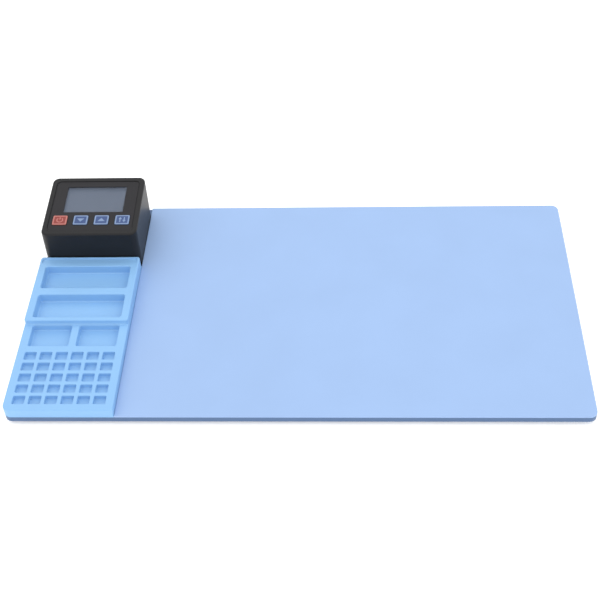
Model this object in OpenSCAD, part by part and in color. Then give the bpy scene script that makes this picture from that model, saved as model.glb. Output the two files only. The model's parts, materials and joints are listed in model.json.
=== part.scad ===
// Screen-separator hot plate: a flat heated mat with a controller box at its back left corner
// and a removable silicone tray for screws and small parts in front of the box.
// Millimetres. +X is to the right, +Y to the back, +Z up. The origin is on the table, under
// the middle of the plate.

/* [Hot plate] */
// Width of the aluminium plate
plate_w = 380; // [360:1:420]
// Depth of the aluminium plate
plate_d = 205; // [203:1:215]
// Thickness of the aluminium plate at its rim
plate_t = 4.2; // [4.2:0.1:6]
// Thickness of the plate over the heater
skin_t = 1.4; // [1.4:0.1:1.6]
// Radius of the plate's corners
corner_r = 5; // [4:0.5:6]
// Thickness of the silicone mat
mat_t = 1.3; // [1:0.1:2]
// Height of the rubber feet
foot_h = 3; // [2.5:0.5:6]

/* [Side strip] */
// Width of the strip that carries the controller and the tray
strip_w = 72; // [72:1:76]
// Gap between the tray and the controller
tray_gap = 0.3; // [0.3:0.1:2]
// Height of the tray's back part, over the mat
tray_back_h = 9.5; // [9:0.5:12]
// Height of the tray's front part, over the mat
tray_front_h = 5.8; // [5.8:0.2:7]

/* [Controller] */
// Width of the controller box
box_w = 69; // [69:0.5:70]
// Depth of the controller box
box_d = 59.2; // [59:0.1:60]
// Height of the controller box over the plate, at its back
box_h = 36.2; // [36.2:0.1:40]
// Slope of the controller's top towards the front, in degrees
top_slope = 4; // [3:0.5:4]
// Thickness of the box's walls
wall_t = 2.2; // [2:0.1:2.4]

/* [Keys] */
// Width of a key's cap
key_w = 10.4; // [9:0.1:10.6]
// Depth of a key's cap
key_d = 9.2; // [8:0.1:9.4]
// Distance from one key to the next
key_pitch = 15.1; // [15:0.1:15.4]
// How far a key travels
key_travel = 0.6; // [0.3:0.1:0.6]

/* [Hidden] */
$fn = 48;
eps = 0.01;

// Colours
black_plastic = [0.06, 0.06, 0.07];
panel_grey = [0.17, 0.17, 0.18];
mat_blue = [0.66, 0.79, 0.97];
tray_blue = [0.55, 0.77, 0.97];
plate_blue = [0.34, 0.44, 0.58];
board_green = [0.05, 0.32, 0.2];
brass = [0.8, 0.65, 0.3];
steel = [0.75, 0.76, 0.78];

// Heights of the layers, from the table up
cover_t = 1;
film_t = 0.5;
plate_z = foot_h;
skin_z = plate_z + plate_t - skin_t;
deck_z = plate_z + plate_t;
mat_z = deck_z + mat_t;

// The strip's right edge, and the seam between it and the mat
strip_x = -plate_w / 2 + strip_w;
seam = 0.4;

// The pocket under the plate, the cover in it and the heater
rim_w = 6;
pillar_r = 4.5;
cover_gap = 0.3;
heater_x0 = strip_x + 6;
heater_x1 = plate_w / 2 - 16;
heater_y = plate_d / 2 - 14.5;
sensor_x = (heater_x0 + heater_x1) / 2;
sensor_w = 6;
sensor_d = 4;
pillar_y = plate_d / 2 - 9.5;
pillar_x = plate_w / 2 - 10;
pillars = concat(
    [for (i = [0 : 3]) [-pillar_x + i * pillar_x * 2 / 3, -pillar_y]],
    [for (i = [0 : 3]) [strip_x + 12 + i * (pillar_x - strip_x - 12) / 3, pillar_y]],
    [[-pillar_x, 0], [pillar_x, 0]]
);
foot_x = plate_w / 2 - 25;
foot_y = plate_d / 2 - 22.5;
foot_r = 7;

// Screws: an M3 and an M2.5 with their clearance and pilot holes
m3_r = 1.45;
m3_hole = 1.7;
m3_pilot = 1.5;
m3_head_r = 2.8;
m25_r = 1.15;
m25_hole = 1.35;
m25_pilot = 1.2;
m25_head_r = 2.2;

// Controller: its centre and its levels over the table
box_x = strip_x - box_w / 2;
back_margin = 5;
box_y = plate_d / 2 - back_margin - box_d / 2;
box_r = 5;
box_top = deck_z + box_h;
box_front_top = box_top - box_d * tan(top_slope);
floor_t = 2.2;
base_top = deck_z + floor_t;
block = 7.6;
block_top = 26;
block_x0 = box_w / 2 - wall_t - block / 2 + 0.1;
block_y0 = box_d / 2 - wall_t - block / 2 + 0.1;
screw_x = box_w / 2 - 6;
screw_y = box_d / 2 - 6;

// Levels under the sloping top, measured square to it
slope_d = box_d / cos(top_slope);
rim_drop = 0.5;
panel_t = 0.6;
roof_t = 2;
panel_z = -rim_drop - panel_t;
roof_z = panel_z - roof_t;
screen_t = 2.4;
screen_z = roof_z - 0.2 - screen_t;
board_t = 1.6;
board_top = -10.8;
board_z = board_top - board_t;
switch_h = 3.5;
plunger_h = 0.8;

// Display and keys on the sloping top, measured up the slope from its front edge
rim_x = 3.8;
rim_y = 4.2;
screen_w = 43.4;
screen_d = 26;
screen_y = 36.4;
window_w = 47;
window_d = 29.4;
window_t = 1.5;
module_w = 49;
module_d = 32;
key_y = 14.8;
key_gap = 0.25;
key_flange_t = 0.9;
key_stem_r = 1.6;
board_w = 60;
board_d = 50;
post_r = 2.4;
posts = [for (x = [-28, 28], y = [23, 52]) [x, y]];

// Power board
power_z = base_top + 4;
power_w = 59;
power_d = 38;
power_posts = [for (x = [-26, 26], y = [-15, 15]) [x, y]];
parts_z = power_z + board_t;
heat_sink_h = 1.6;

// Mains inlet and switch in the back wall, relative to the box's centre
back_y = box_y + box_d / 2;
inlet_x = -13.5;
switch_x = 13;
socket_z = 23.5;
flange_t = 1.8;
inlet_w = 20.6;
inlet_h = 12.6;
pin_spread = 4.3;
lobe_r = 4.35;
pin_r = 1.18;
housing_depth = 14;
tab_t = 0.8;
tab_w = 4;
tab_l = 6;
switch_tab_x = 5.4;
rocker_tilt = 9;
rocker_in = 1.5;
rocker_half_w = 7;
rocker_half_h = 5;
rocker_pin_r = 1.2;
rocker_reach = 7.2;

// Hole for the heater's and the sensor's wires, relative to the box's centre
wire_hole = [18, 6];
wire_hole_r = 4;
wire_r = 0.8;
thin_wire_r = 0.45;

// Terminal block on the power board, relative to the box's centre
block_x = 4;
block_y = 11.8;
block_d = 7.2;
ways = 4;
way = 3.9;
way_z = parts_z + 2.6;

// Parts tray
tray_y0 = -plate_d / 2;
tray_y1 = box_y - box_d / 2 - tray_gap;
tray_x0 = -plate_w / 2;
tray_mid = tray_x0 + strip_w / 2;
step_y = tray_y0 + 76.4;
well_w = 61.2;
well_d = 21.8;
well_depth = 6.5;
long_wells = [tray_y0 + 90.8, tray_y0 + 119.4];
box_well_w = 27.4;
box_well_d = 19;
box_well_depth = 4.6;
box_well_y = tray_y0 + 65.8;
box_well_x = 16.3;
pocket_w = 8;
pocket_d = 6.8;
pocket_depth = 3;
pocket_pitch_x = 10.6;
pocket_pitch_y = 9.6;
pocket_y0 = tray_y0 + 8.9;
groove_d = 4.8;
groove_depth = 0.6;
back_lip = 1.7;
side_lip = 1.7;

// A box between two opposite corners
module span(low, high) {
    translate(low) cube(high - low);
}

// A block centred in X and Y, standing on Z 0, with round upright edges
module rounded_block(w, d, h, r) {
    translate([-w / 2 + r, -d / 2, 0]) cube([w - 2 * r, d, h]);
    translate([-w / 2, -d / 2 + r, 0]) cube([w, d - 2 * r, h]);
    for (x = [-1, 1], y = [-1, 1]) translate([x * (w / 2 - r), y * (d / 2 - r), 0]) cylinder(r = r, h = h);
}

// Points of an arc, from angle a to angle b
function arc(r, a, b, n = 8) = [for (i = [0 : n]) let (t = a + (b - a) * i / n) [r * cos(t), r * sin(t)]];

// A pan-head screw whose head's flat face is at Z 0 and whose shank points up
module screw(shank_r, length, head_r, head_h) {
    cylinder(r = shank_r, h = length);
    translate([0, 0, -head_h]) difference() {
        cylinder(r1 = head_r * 0.8, r2 = head_r, h = head_h);
        for (a = [0, 90]) rotate(a) translate([-head_r * 0.55, -0.3, -eps])
            cube([head_r * 1.1, 0.6, head_h * 0.5]);
    }
}

// Direction of a route at point i, as a unit vector
function unit(v) = v / norm(v);
function heading(p, i) = unit(p[min(i + 1, len(p) - 1)] - p[max(i - 1, 0)]);

// Points of a round route through corners, each corner cut by a curve of the given share
function smooth(p, cut = 0.35, n = 5) = concat(
    [p[0]],
    [for (i = [1 : len(p) - 2])
        let (a = p[i] + (p[i - 1] - p[i]) * cut, b = p[i] + (p[i + 1] - p[i]) * cut)
        for (k = [0 : n]) let (t = k / n) (1 - t) * (1 - t) * a + 2 * t * (1 - t) * p[i] + t * t * b],
    [p[len(p) - 1]]
);

// A wire swept along a route: one closed mesh of rings with a cap at each end
module wire(route, r, sides = 8) {
    p = smooth(route);
    count = len(p);
    rings = [for (i = [0 : count - 1])
        let (d = heading(p, i), helper = abs(d[2]) > 0.9 ? [1, 0, 0] : [0, 0, 1],
             u = unit(cross(helper, d)), v = cross(d, u))
        for (k = [0 : sides - 1]) let (t = 360 * k / sides) p[i] + r * (cos(t) * u + sin(t) * v)];
    walls = [for (i = [0 : count - 2], k = [0 : sides - 1])
        let (a = i * sides + k, b = i * sides + (k + 1) % sides) [b, a, a + sides, b + sides]];
    first = [for (k = [0 : sides - 1]) k];
    last = [for (k = [sides - 1 : -1 : 0]) (count - 1) * sides + k];
    polyhedron(rings, concat(walls, [first], [last]), convexity = 6);
}

// Puts its children at the controller's centre, at height Z 0
module at_box() {
    translate([box_x, box_y, 0]) children();
}

// Puts its children at height z in the hole for the heater's and the sensor's wires
module at_wire_hole(z) {
    translate([box_x + wire_hole[0], box_y + wire_hole[1], z]) children();
}

// Puts its children on the controller's sloping top: Y runs up the slope from its front edge
module at_slope() {
    translate([box_x, box_y - box_d / 2, box_front_top]) rotate([top_slope, 0, 0]) children();
}

// Height of the control board's underside at depth y from the box's centre
function under_board(y) =
    let (along = (y + box_d / 2 + board_z * sin(top_slope)) / cos(top_slope))
    box_front_top + along * sin(top_slope) + board_z * cos(top_slope);

// Puts its children at each of the controller's four corner screws
module at_corner_screws() {
    at_box() for (x = [-1, 1], y = [-1, 1]) translate([x * screw_x, y * screw_y, 0]) children();
}

// ---------- hot plate ----------

module heating_plate() {
    color(plate_blue) difference() {
        union() {
            difference() {
                translate([0, 0, plate_z]) rounded_block(plate_w, plate_d, plate_t, corner_r);
                translate([0, 0, plate_z - 1])
                    rounded_block(plate_w - 2 * rim_w, plate_d - 2 * rim_w, plate_t - skin_t + 1, 2);
            }
            for (p = pillars) translate([p[0], p[1], plate_z + cover_t])
                cylinder(r = pillar_r, h = skin_z - plate_z - cover_t + eps);
        }
        for (p = pillars) translate([p[0], p[1], plate_z]) cylinder(r = m3_pilot, h = plate_t - 0.6);
        at_corner_screws() translate([0, 0, skin_z - 1]) cylinder(r = m3_hole, h = skin_t + 2);
        at_wire_hole(skin_z - 1) cylinder(r = wire_hole_r, h = skin_t + 2);
    }
}

module heating_mat() {
    color(mat_blue) translate([0, 0, deck_z]) difference() {
        rounded_block(plate_w, plate_d, mat_t, corner_r);
        span([-plate_w, -plate_d, -1], [strip_x + seam / 2, plate_d, mat_t + 1]);
    }
}

module tray_pad() {
    color(tray_blue) translate([0, 0, deck_z]) difference() {
        rounded_block(plate_w, plate_d, mat_t, corner_r);
        span([strip_x - seam / 2, -plate_d, -1], [plate_w, plate_d, mat_t + 1]);
        span([-plate_w, tray_y1, -1], [plate_w, plate_d, mat_t + 1]);
    }
}

module heater_film() {
    color("chocolate") difference() {
        span([heater_x0, -heater_y, skin_z - film_t], [heater_x1, heater_y, skin_z]);
        translate([sensor_x - sensor_w / 2 - 1, -sensor_d / 2 - 1, skin_z - film_t - 1])
            cube([sensor_w + 2, sensor_d + 2, film_t + 2]);
    }
}

// The etched foil: one strip that runs to and fro under the film
module heater_track() {
    track_w = 4;
    track_t = 0.15;
    runs = 14;
    gap = (2 * heater_y - 12 - track_w) / (runs - 1);
    left = heater_x0 + 8;
    right = heater_x1 - 8;
    first = -heater_y + 6;
    z = skin_z - film_t - track_t;
    color("silver") {
        for (i = [0 : runs - 1])
            span([left, first + i * gap, z], [right, first + i * gap + track_w, z + track_t]);
        for (i = [0 : runs - 2]) {
            x = i % 2 == 0 ? right - track_w : left;
            span([x, first + i * gap, z], [x + track_w, first + (i + 1) * gap + track_w, z + track_t]);
        }
    }
}

module insulation_sheet() {
    track_room = 0.2;
    top = skin_z - film_t - track_room;
    color("beige") difference() {
        span([heater_x0, -heater_y, plate_z + cover_t], [heater_x1, heater_y, top]);
        translate([sensor_x - sensor_w / 2 - 1, -sensor_d / 2 - 1, plate_z])
            cube([sensor_w + 2, sensor_d + 2, 4]);
        span([heater_x0 - 1, -1.6, plate_z], [sensor_x, 1.6, top + 1]);
    }
}

module bottom_cover() {
    color([0.12, 0.12, 0.13]) difference() {
        translate([0, 0, plate_z])
            rounded_block(plate_w - 2 * (rim_w + cover_gap), plate_d - 2 * (rim_w + cover_gap), cover_t, 2);
        for (p = pillars) translate([p[0], p[1], plate_z - 1]) cylinder(r = m3_hole, h = cover_t + 2);
    }
}

module cover_screws() {
    color(steel) for (p = pillars) translate([p[0], p[1], plate_z]) screw(m3_r, 3.2, m3_head_r, 1.6);
}

module rubber_feet() {
    bevel = 2;
    foot_profile = concat([[0, 0], [foot_r - bevel, 0]],
                          [for (p = arc(1, -90, 0, 4)) [foot_r - bevel + p[0], 1 + p[1]]],
                          [[foot_r, foot_h], [0, foot_h]]);
    color([0.1, 0.1, 0.1]) for (x = [-foot_x, 0, foot_x], y = [-foot_y, foot_y])
        translate([x, y, 0]) rotate_extrude() polygon(foot_profile);
}

module temperature_sensor() {
    color("darkorange")
        translate([sensor_x - sensor_w / 2, -sensor_d / 2, skin_z - 1.2]) cube([sensor_w, sensor_d, 1.2]);
}

// ---------- controller housing ----------

module controller_base() {
    lip_t = 1.4;
    lip_h = 3;
    lip_x = box_w / 2 - wall_t - 0.2;
    lip_y = box_d / 2 - wall_t - 0.2;
    lip_half_x = box_w / 2 - wall_t - block - 1;
    lip_half_y = box_d / 2 - wall_t - block - 1;
    color(black_plastic) difference() {
        at_box() {
            translate([0, 0, deck_z]) rounded_block(box_w, box_d, floor_t, box_r);
            for (s = [-1, 1]) {
                translate([-lip_half_x, s * lip_y - (s > 0 ? lip_t : 0), base_top - eps])
                    cube([2 * lip_half_x, lip_t, lip_h]);
                translate([s * lip_x - (s > 0 ? lip_t : 0), -lip_half_y, base_top - eps])
                    cube([lip_t, 2 * lip_half_y, lip_h]);
            }
            for (p = power_posts) translate([p[0], p[1], base_top - eps])
                cylinder(r = 2.6, h = power_z - base_top + eps);
        }
        at_corner_screws() translate([0, 0, deck_z - 1]) cylinder(r = m3_hole, h = floor_t + 2);
        at_box() for (p = power_posts) translate([p[0], p[1], base_top]) cylinder(r = m25_pilot, h = 5);
        at_wire_hole(deck_z - 1) cylinder(r = wire_hole_r, h = floor_t + 2);
    }
}

// Keys, left to right, counted from 0
function key_x(i) = (i - 1.5) * key_pitch;

module controller_shell() {
    tall = box_top - base_top;
    color(black_plastic) difference() {
        union() {
            difference() {
                at_box() translate([0, 0, base_top]) rounded_block(box_w, box_d, tall, box_r);
                at_slope() translate([-box_w, -box_d, 0]) cube([2 * box_w, 3 * box_d, 20]);
                difference() {
                    at_box() translate([0, 0, base_top - 1])
                        rounded_block(box_w - 2 * wall_t, box_d - 2 * wall_t, tall + 1, box_r - wall_t);
                    at_slope() translate([-box_w, -box_d, roof_z]) cube([2 * box_w, 3 * box_d, 20]);
                }
            }
            at_box() for (x = [-1, 1], y = [-1, 1])
                translate([x * block_x0, y * block_y0, base_top])
                    rounded_block(block, block, block_top - base_top, 2.5);
            at_slope() for (p = posts) translate([p[0], p[1], board_top])
                cylinder(r = post_r, h = roof_z - board_top + eps);
        }
        // recess for the front panel, openings for the display and the keys
        at_slope() {
            translate([0, slope_d / 2, panel_z])
                rounded_block(box_w - 2 * rim_x, slope_d - 2 * rim_y, 5, 3.2);
            translate([0, screen_y, roof_z - 1]) rounded_block(window_w + 0.4, window_d + 0.4, roof_t + 2, 1);
            for (i = [0 : 3]) translate([key_x(i), key_y, roof_z - 1])
                rounded_block(key_w + 2 * key_gap, key_d + 2 * key_gap, roof_t + 2, 1.2);
            for (p = posts) translate([p[0], p[1], board_z]) cylinder(r = m25_pilot, h = 7);
        }
        at_corner_screws() translate([0, 0, base_top - 1]) cylinder(r = m3_pilot, h = 14);
        // inlet and switch openings in the back wall
        translate([box_x + inlet_x - inlet_w / 2 - 0.2, back_y - wall_t - 1, socket_z - inlet_h / 2 - 0.2])
            cube([inlet_w + 0.4, wall_t + 2, inlet_h + 0.4]);
        translate([box_x + switch_x - 9.6, back_y - wall_t - 1, socket_z - 6.5]) cube([19.2, wall_t + 2, 13]);
    }
}

module front_panel() {
    w = box_w - 2 * rim_x - 0.3;
    d = slope_d - 2 * rim_y - 0.3;
    color(panel_grey) at_slope() difference() {
        translate([0, slope_d / 2, panel_z]) rounded_block(w, d, panel_t, 3);
        translate([-screen_w / 2, screen_y - screen_d / 2, panel_z - 1])
            cube([screen_w, screen_d, panel_t + 2]);
        for (i = [0 : 3]) translate([key_x(i), key_y, panel_z - 1])
            rounded_block(key_w + 2 * key_gap, key_d + 2 * key_gap, panel_t + 2, 1.2);
    }
}

module display_window() {
    color([0.5, 0.55, 0.62]) at_slope()
        translate([0, screen_y, panel_z - window_t]) rounded_block(window_w, window_d, window_t, 0.8);
}

module display_screen() {
    color([0.2, 0.23, 0.27]) at_slope()
        translate([-module_w / 2, screen_y - module_d / 2, screen_z]) cube([module_w, module_d, screen_t]);
}

// Frame that holds the screen off the control board
module display_holder() {
    wall = 3;
    tall = screen_z - board_top;
    color("white") at_slope() translate([0, screen_y, board_top]) difference() {
        translate([-module_w / 2, -module_d / 2, 0]) cube([module_w, module_d, tall]);
        translate([-module_w / 2 + wall, -module_d / 2 + wall, -1])
            cube([module_w - 2 * wall, module_d - 2 * wall, tall + 2]);
    }
}

module control_board() {
    color(board_green) at_slope() difference() {
        translate([-board_w / 2, slope_d / 2 - board_d / 2, board_z]) cube([board_w, board_d, board_t]);
        for (p = posts) translate([p[0], p[1], board_z - 1]) cylinder(r = m25_hole, h = board_t + 2);
    }
}

module key_switches() {
    switch_w = 6;
    color("dimgray") at_slope() for (i = [0 : 3]) translate([key_x(i), key_y, board_top]) {
        translate([-switch_w / 2, -switch_w / 2, 0]) cube([switch_w, switch_w, switch_h]);
        translate([0, 0, switch_h - eps]) cylinder(r = 1.75, h = plunger_h + eps);
    }
}

// One key: a cap, a flange that holds it under the roof and a stem over its switch
module key(i) {
    flange_top = roof_z - 0.05;
    stem_bottom = board_top + switch_h + plunger_h + key_travel + 0.05;
    at_slope() translate([key_x(i), key_y, 0]) {
        translate([0, 0, flange_top - eps]) rounded_block(key_w, key_d, eps - flange_top, 1);
        translate([0, 0, flange_top - key_flange_t]) rounded_block(key_w + 1.8, key_d + 1.2, key_flange_t, 1);
        translate([0, 0, stem_bottom])
            cylinder(r = key_stem_r, h = flange_top - key_flange_t - stem_bottom + eps);
    }
}

module power_key() { color([0.86, 0.25, 0.2]) key(0); }
module down_key() { color([0.23, 0.38, 0.72]) key(1); }
module up_key() { color([0.23, 0.38, 0.72]) key(2); }
module set_key() { color([0.23, 0.38, 0.72]) key(3); }

module control_board_screws() {
    color(steel) at_slope() for (p = posts) translate([p[0], p[1], board_z]) screw(m25_r, 5, m25_head_r, 1.5);
}

// ---------- controller electronics ----------

module power_board() {
    color(board_green) at_box() difference() {
        translate([-power_w / 2, -power_d / 2, power_z]) cube([power_w, power_d, board_t]);
        for (p = power_posts) translate([p[0], p[1], power_z - 1]) cylinder(r = m25_hole, h = board_t + 2);
        translate([wire_hole[0], wire_hole[1], power_z - 1])
            cylinder(r = wire_hole_r, h = board_t + 2);
    }
}

module power_board_screws() {
    color(steel) at_box() for (p = power_posts) translate([p[0], p[1], power_z + board_t])
        mirror([0, 0, 1]) screw(m25_r, 4.5, m25_head_r, 1.5);
}

module transformer() {
    w = 14;
    d = 13;
    cheek = 2;
    winding_h = 8;
    color("gold") at_box() translate([-12, -8, parts_z]) {
        for (z = [0, cheek + winding_h]) translate([-w / 2, -d / 2, z]) cube([w, d, cheek]);
        translate([2 - w / 2, 2 - d / 2, cheek - eps]) cube([w - 4, d - 4, winding_h + 2 * eps]);
    }
}

module capacitors() {
    color("midnightblue") at_box() {
        translate([3, -10.4, parts_z]) cylinder(r = 5, h = 11.5);
        translate([3, -2, parts_z]) cylinder(r = 3.2, h = 9);
        translate([-26, -9, parts_z]) cube([5, 12, 9]);
    }
}

// The triac lies on its heat sink, with three legs bent down to the board
module triac() {
    body_z = parts_z + heat_sink_h;
    leg_z = body_z + 2.2;
    color([0.1, 0.1, 0.1]) at_box() translate([-14, 0, 0]) {
        translate([-5, 6.5, body_z]) cube([10, 8.5, 4.4]);
        for (x = [-2.5, 0, 2.5]) {
            translate([x - 0.4, 2.6, leg_z]) cube([0.8, 3.9 + eps, 0.6]);
            translate([x - 0.4, 2.6, parts_z]) cube([0.8, 0.6, leg_z - parts_z + 0.6]);
        }
    }
}

module heat_sink() {
    rib_gap = 3.2;
    color("lightgray") at_box() difference() {
        translate([-23, 4.5, parts_z]) cube([18, 10.8, heat_sink_h]);
        for (x = [-22 : rib_gap : -7]) translate([x, 4, parts_z - 1]) cube([1.4, 12, 1.8]);
    }
}

module fuse() {
    color("lightyellow") at_box() translate([21, -9, parts_z + 3.2]) rotate([90, 0, 0]) {
        translate([0, 0, -6]) cylinder(r = 2.1, h = 12);
        for (s = [-1, 1]) translate([0, 0, s * 8 - 2]) {
            cylinder(r = 2.5, h = 4);
            translate([-2.4, -3.2, 0.5]) cube([4.8, 3.2, 3]);
        }
    }
}

module terminal_block() {
    block_h = 6.2;
    color("seagreen") at_box() translate([block_x, block_y, parts_z]) difference() {
        translate([-ways * way / 2, -block_d / 2, 0]) cube([ways * way, block_d, block_h]);
        for (i = [0 : ways - 1]) translate([(i - 1.5) * way, 0, 4.6]) cylinder(r = 1.4, h = 4);
        for (i = [0 : ways - 1]) translate([(i - 1.5) * way - 1.2, -block_d, 1.3]) cube([2.4, block_d, 2.6]);
    }
}

module buzzer() {
    color([0.12, 0.12, 0.12]) at_box() translate([12, -12, parts_z]) difference() {
        cylinder(r = 3.8, h = 6);
        translate([0, 0, 5]) cylinder(r = 0.8, h = 2);
    }
}

// Pin header that joins the two boards
module board_header() {
    pins = 6;
    pitch = 2.54;
    body_h = 8.5;
    color("goldenrod") at_box() for (i = [0 : pins - 1]) {
        y = i * pitch - 1.8;
        translate([-28 - 1.25, y - pitch / 2, parts_z]) cube([2.5, pitch + eps, body_h]);
        translate([-28 - 0.32, y - 0.32, parts_z + body_h - eps])
            cube([0.64, 0.64, under_board(y) - 0.05 - parts_z - body_h]);
    }
}

// Bush that lines the hole through the plate and the controller's floor
module wire_bush() {
    lip = 0.8;
    color([0.1, 0.1, 0.1]) at_wire_hole(0) difference() {
        union() {
            translate([0, 0, skin_z]) cylinder(r = wire_hole_r - 0.05, h = base_top - skin_z + eps);
            translate([0, 0, base_top]) cylinder(r = wire_hole_r + 1.2, h = lip);
        }
        translate([0, 0, skin_z - 1]) cylinder(r = wire_hole_r - 1, h = 10);
    }
}

// A point relative to the box's centre, at height z
function in_box(x, y, z) = [box_x + x, box_y + y, z];

// Entry point of way i of the terminal block, dy in front of the block's middle
function way_point(i, dy) = in_box(block_x + (i - 1.5) * way, block_y - dy, way_z);

// Two wires from the terminal block, down through the bush and along the plate to the heater
module heater_leads() {
    z = plate_z + cover_t + 0.9;
    color("red") {
        wire([way_point(2, 1), way_point(2, 6.9), in_box(12, 5.1, 16.8), in_box(17.2, 6.2, 16.6),
              in_box(17.2, 6.2, base_top), in_box(17.2, 6.2, z), in_box(26, 6.2, z),
              [heater_x0 - 0.1, box_y + 6.2, z]], wire_r);
        wire([way_point(3, 1), way_point(3, 4.9), in_box(12.2, 7, 19.5), in_box(18.9, 8, 21),
              in_box(18.9, 8, base_top), in_box(18.9, 8, z), in_box(20.4, 8.2, z), in_box(26, 11.5, z),
              [heater_x0 - 0.1, box_y + 11.5, z]], wire_r);
    }
}

// Two thin wires from the terminal block to the sensor under the middle of the hot area
module sensor_leads() {
    z = plate_z + cover_t + 0.6;
    turn_x = strip_x - 6;
    color("white") {
        wire([way_point(1, 1), way_point(1, 8.6), in_box(18.4, 4.9, 19.5), in_box(18.4, 4.9, base_top),
              in_box(18.4, 4.9, z), in_box(18.6, -6, z), in_box(18.6, -50, z), [turn_x + 2, 0.8, z],
              [heater_x0 + 20, 0.8, z], [sensor_x - sensor_w / 2, 0.8, z]], thin_wire_r);
        wire([way_point(0, 1), way_point(0, 9.8), in_box(17.4, 3.7, 20.5), in_box(17.4, 3.7, base_top),
              in_box(17.4, 3.7, z), in_box(15.6, -4, z), in_box(15.6, -50, z), [turn_x, -0.8, z],
              [heater_x0 + 20, -0.8, z], [sensor_x - sensor_w / 2, -0.8, z]], thin_wire_r);
    }
}

// Mains wires: inlet to switch, switch to fuse and inlet to board
module mains_wires() {
    beside = tab_t / 2 + wire_r + 0.05;
    tab_y = box_d / 2 - housing_depth - 1 - tab_l / 2;
    front_y = 4.6;
    color("black") {
        wire([in_box(inlet_x + pin_spread + beside, tab_y, socket_z),
              in_box(inlet_x + pin_spread + beside, front_y, socket_z + 0.5),
              in_box(switch_x - switch_tab_x - beside, front_y, socket_z + 0.5),
              in_box(switch_x - switch_tab_x - beside, tab_y, socket_z)], wire_r);
        wire([in_box(switch_x + switch_tab_x + beside, tab_y, socket_z),
              in_box(switch_x + switch_tab_x + beside + 1, front_y, socket_z + 1.5),
              in_box(25.5, 0.5, socket_z - 1),
              in_box(24.4, -1.5, parts_z + 3.2)], wire_r);
        wire([in_box(inlet_x - pin_spread - beside, tab_y, socket_z),
              in_box(inlet_x - pin_spread - beside, front_y, socket_z + 0.5),
              in_box(-23.5, 0, socket_z + 3.2),
              in_box(-23.5, -3, parts_z + 9.9)], wire_r);
    }
}

// ---------- mains inlet and switch ----------

// Puts its children at a socket of the back wall, with +Z along the way a plug leaves
module at_socket(x) {
    translate([box_x + x, back_y, socket_z]) rotate([-90, 0, 0]) children();
}

module inlet_housing() {
    cavity_depth = 12.5;
    color([0.08, 0.08, 0.08]) at_socket(inlet_x) difference() {
        union() {
            rounded_block(26, 15.6, flange_t, 2);
            translate([0, 0, -housing_depth]) rounded_block(inlet_w, inlet_h, housing_depth + eps, 1.2);
        }
        translate([0, 0, flange_t - cavity_depth]) {
            for (s = [-1, 1]) translate([s * pin_spread, 0, 0]) cylinder(r = lobe_r, h = cavity_depth + 1);
            translate([-pin_spread, -lobe_r + 0.5, 0])
                cube([2 * pin_spread, 2 * lobe_r - 1, cavity_depth + 1]);
        }
        for (s = [-1, 1]) translate([s * pin_spread, 0, -housing_depth - 1])
            cylinder(r = pin_r + 0.03, h = housing_depth);
    }
}

module inlet_pins() {
    color(brass) at_socket(inlet_x) for (s = [-1, 1]) translate([s * pin_spread, 0, 0]) {
        translate([0, 0, -housing_depth - 1]) cylinder(r = pin_r, h = housing_depth);
        translate([0, 0, -1 - eps]) cylinder(r1 = pin_r, r2 = pin_r * 0.55, h = 0.8);
        translate([-tab_t / 2, -tab_w / 2, -housing_depth - 1 - tab_l]) cube([tab_t, tab_w, tab_l + eps]);
    }
}

module switch_housing() {
    pocket_in = 7;
    color([0.07, 0.07, 0.07]) at_socket(switch_x) difference() {
        union() {
            rounded_block(21, 15, flange_t, 1.5);
            translate([-9.4, -6.3, -housing_depth]) cube([18.8, 12.6, housing_depth + eps]);
        }
        translate([-7.8, -5.3, -pocket_in]) cube([15.6, 10.6, pocket_in + flange_t + 1]);
        translate([0, 0, -rocker_in]) rotate([90, 0, 0])
            cylinder(r = rocker_pin_r + 0.06, h = 14, center = true);
        for (s = [-1, 1]) translate([s * switch_tab_x, 0, -housing_depth - 1])
            translate([-tab_t / 2 - 0.05, -tab_w / 2 - 0.05, 0]) cube([tab_t + 0.1, tab_w + 0.1, 5]);
    }
}

// The rocker is stored at its off position: its left half is pressed in
module switch_rocker() {
    half = concat([[0, 3], [rocker_half_w, 4.4]], arc(rocker_reach, 20, -35, 10));
    profile = concat(half, [for (i = [len(half) - 1 : -1 : 1]) [-half[i][0], half[i][1]]]);
    color([0.12, 0.12, 0.12]) at_socket(switch_x) translate([0, 0, -rocker_in]) rotate([0, -rocker_tilt, 0]) {
        rotate([90, 0, 0]) translate([0, 0, -rocker_half_h])
            linear_extrude(2 * rocker_half_h) polygon(profile);
        rotate([90, 0, 0]) cylinder(r = rocker_pin_r, h = 12.2, center = true);
    }
}

module switch_terminals() {
    color(brass) at_socket(switch_x) for (s = [-1, 1])
        translate([s * switch_tab_x - tab_t / 2, -tab_w / 2, -housing_depth - 1 - tab_l])
            cube([tab_t, tab_w, tab_l + 4]);
}

module controller_screws() {
    color(steel) at_corner_screws() translate([0, 0, skin_z]) screw(m3_r, 14, m3_head_r, 1.2);
}

// ---------- parts tray ----------

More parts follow.
